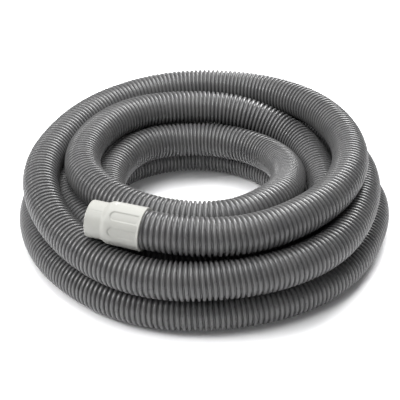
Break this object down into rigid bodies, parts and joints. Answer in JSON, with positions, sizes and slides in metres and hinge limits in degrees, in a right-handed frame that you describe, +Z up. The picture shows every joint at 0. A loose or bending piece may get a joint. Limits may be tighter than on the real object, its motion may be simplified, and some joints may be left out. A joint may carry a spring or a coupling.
{
  "type": "pool vacuum hose",
  "caption": "Ribbed flexible suction hose laid in a round coil, with a swivelling push-on cuff on one end and a fixed one on the other.",
  "frame": {"origin": "middle of the coil's bounding box, on the ground", "axes": "+Z up from the ground, +X to the right and +Y to the back, with the swivel cuff at the front left"},
  "size_m": [0.4919, 0.4983, 0.1413],
  "materials": {
    "hose_plastic": "satin mid grey",
    "cuff_plastic": "satin warm off-white",
    "bushing_plastic": "satin light grey",
    "seal_rubber": "matt black"
  },
  "bodies": {
    "hose": {"hose": "hose_plastic", "swivel_bushing": "bushing_plastic", "swivel_seal": "seal_rubber", "fixed_cuff": "cuff_plastic", "fixed_cuff_seal": "seal_rubber"},
    "swivel_cuff": {"swivel_cuff": "cuff_plastic"}
  },
  "joints": [
    {"name": "swivel_turn", "type": "hinge", "parent": "hose", "child": "swivel_cuff", "pos_m": [-0.06909, -0.18982, 0.115], "axis": [-0.9458, 0.3238, 0.0237], "continuous": true}
  ]
}
